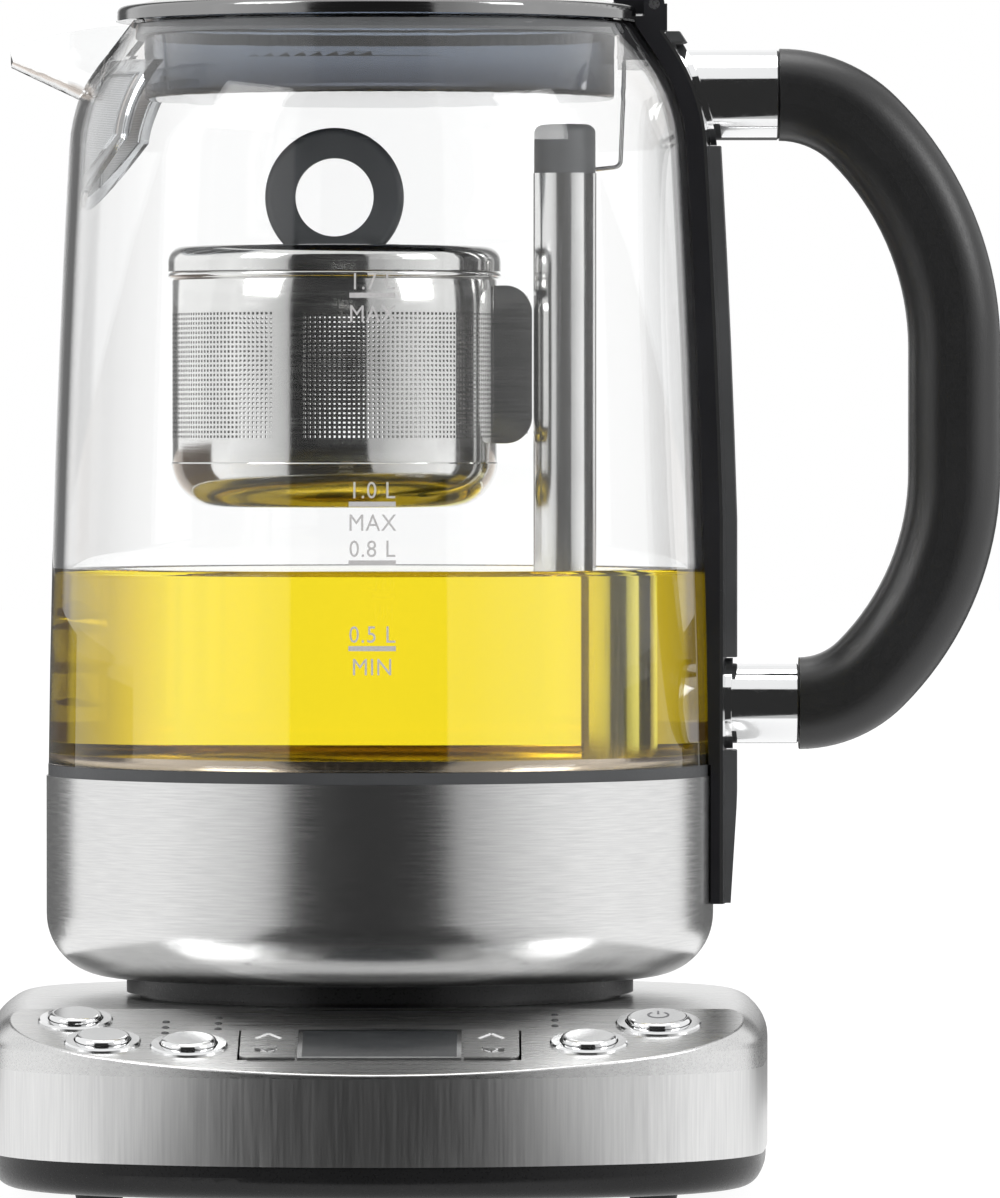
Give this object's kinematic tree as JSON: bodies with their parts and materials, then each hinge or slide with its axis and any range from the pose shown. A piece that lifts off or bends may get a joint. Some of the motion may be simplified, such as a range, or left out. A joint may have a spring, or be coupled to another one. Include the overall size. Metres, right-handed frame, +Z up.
{
  "type": "tea maker",
  "caption": "Electric glass tea maker: a jug with a hinged lid, handle and spout on a steel power base with keys, and an infuser basket that a lead screw lifts along a post.",
  "frame": {"origin": "centre of the footprint of the whole object, handle included, at table height", "axes": "+Z up, +X towards the handle, -Y towards the key panel"},
  "size_m": [0.2264, 0.1902, 0.2716],
  "materials": {
    "brushed_steel": "brushed",
    "polished_steel": "polished",
    "chrome_trim": "polished chrome",
    "screw_steel": "plain",
    "satin_black": "satin",
    "gloss_black": "gloss",
    "dark_grey": "satin",
    "window_glass": "dark glass",
    "jug_glass": "clear",
    "smoked_plastic": "smoked clear",
    "mesh_steel": "woven",
    "grey_silicone": "matt silicone",
    "foot_rubber": "matt rubber",
    "board_green": "coated board",
    "contact_brass": "bright",
    "magnet_metal": "nickel plated",
    "carriage_plastic": "natural"
  },
  "bodies": {
    "base": {"base_top_plate": "brushed_steel", "base_side_band": "brushed_steel", "base_pan": "satin_black", "base_feet": "foot_rubber", "base_screws": "screw_steel", "cord_bush": "satin_black", "display_frame": "chrome_trim", "display_window": "window_glass", "display_module": "dark_grey", "button_rings": "chrome_trim", "key_brackets": "dark_grey", "control_board": "board_green", "power_board": "board_green", "base_connector": "gloss_black", "base_contacts": "contact_brass"},
    "jug": {"bottom_screws": "screw_steel", "glass_body": "jug_glass", "handle_core": "screw_steel", "handle_ferrules": "chrome_trim", "handle_grip": "satin_black", "handle_spine": "dark_grey", "handle_strap": "gloss_black", "heater_plate": "polished_steel", "heating_element": "screw_steel", "hinge_block": "gloss_black", "hinge_pin": "screw_steel", "jug_bottom_plate": "gloss_black", "jug_connector": "gloss_black", "jug_contacts": "contact_brass", "jug_seals": "grey_silicone", "jug_shell": "brushed_steel", "lift_motor": "dark_grey", "post_cap": "grey_silicone", "post_tube": "polished_steel", "spout_filter_frame": "smoked_plastic", "spout_filter_mesh": "mesh_steel", "stay_wire": "polished_steel", "strap_trim": "chrome_trim", "temperature_probe": "polished_steel"},
    "lid": {"lid_collar": "smoked_plastic", "lid_seal": "grey_silicone", "lid_rim": "brushed_steel", "lid_cover": "brushed_steel", "lid_hinge_arm": "gloss_black"},
    "infuser": {"infuser_cup": "brushed_steel", "infuser_screen": "polished_steel", "infuser_bracket": "polished_steel", "infuser_magnets": "magnet_metal"},
    "infuser_top": {"infuser_lid": "polished_steel", "infuser_ring": "grey_silicone"},
    "screw": {"lead_screw": "screw_steel"},
    "carriage": {"magnet_carriage": "carriage_plastic", "carriage_magnets": "magnet_metal"},
    "button_heat": {"button_heat": "chrome_trim"},
    "button_warm": {"button_warm": "chrome_trim"},
    "button_lift": {"button_lift": "chrome_trim"},
    "button_time": {"button_time": "chrome_trim"},
    "button_power": {"button_power": "chrome_trim"},
    "rocker_left": {"rocker_left": "satin_black"},
    "rocker_right": {"rocker_right": "satin_black"}
  },
  "joints": [
    {"name": "jug_lift", "type": "slide", "parent": "base", "child": "jug", "axis": [0, 0, 1], "range_m": [0, 0.07]},
    {"name": "lid_hinge", "type": "hinge", "parent": "jug", "child": "lid", "pos_m": [0.03528, 0.0149, 0.265], "axis": [0, 1, 0], "range_deg": [0, 85]},
    {"name": "infuser_slide", "type": "slide", "parent": "jug", "child": "infuser", "axis": [0, 0, 1], "range_m": [-0.055, 0]},
    {"name": "carriage_slide", "type": "slide", "parent": "jug", "child": "carriage", "axis": [0, 0, 1], "range_m": [-0.055, 0]},
    {"name": "screw_spin", "type": "hinge", "parent": "jug", "child": "screw", "pos_m": [0.01537, 0.0149, 0.15], "axis": [0, 0, 1], "range_deg": [-4960, 0]},
    {"name": "infuser_top_lift", "type": "slide", "parent": "infuser", "child": "infuser_top", "axis": [0, 0, 1], "range_m": [0, 0.006]},
    {"name": "heat_press", "type": "slide", "parent": "base", "child": "button_heat", "axis": [0, 0.2239, -0.9746], "range_m": [0, 0.0012], "stiffness_N_per_m": 400, "springref_m": -0.001},
    {"name": "warm_press", "type": "slide", "parent": "base", "child": "button_warm", "axis": [0, 0.2239, -0.9746], "range_m": [0, 0.0012], "stiffness_N_per_m": 400, "springref_m": -0.001},
    {"name": "lift_press", "type": "slide", "parent": "base", "child": "button_lift", "axis": [0, 0.2239, -0.9746], "range_m": [0, 0.0012], "stiffness_N_per_m": 400, "springref_m": -0.001},
    {"name": "time_press", "type": "slide", "parent": "base", "child": "button_time", "axis": [0, 0.2239, -0.9746], "range_m": [0, 0.0012], "stiffness_N_per_m": 400, "springref_m": -0.001},
    {"name": "power_press", "type": "slide", "parent": "base", "child": "button_power", "axis": [0, 0.2239, -0.9746], "range_m": [0, 0.0012], "stiffness_N_per_m": 400, "springref_m": -0.001},
    {"name": "rocker_left_tip", "type": "hinge", "parent": "base", "child": "rocker_left", "pos_m": [-0.04958, -0.07111, 0.03005], "axis": [1, 0, 0], "range_deg": [-2.5, 2.5], "stiffness_Nm_per_rad": 0.1},
    {"name": "rocker_right_tip", "type": "hinge", "parent": "base", "child": "rocker_right", "pos_m": [-0.00108, -0.07111, 0.03005], "axis": [1, 0, 0], "range_deg": [-2.5, 2.5], "stiffness_Nm_per_rad": 0.1}
  ],
  "couplings": [
    {"joint": "carriage_slide", "follows": "infuser_slide", "ratio": 1},
    {"joint": "screw_spin", "follows": "infuser_slide", "rad_per_m": 1570.8}
  ]
}
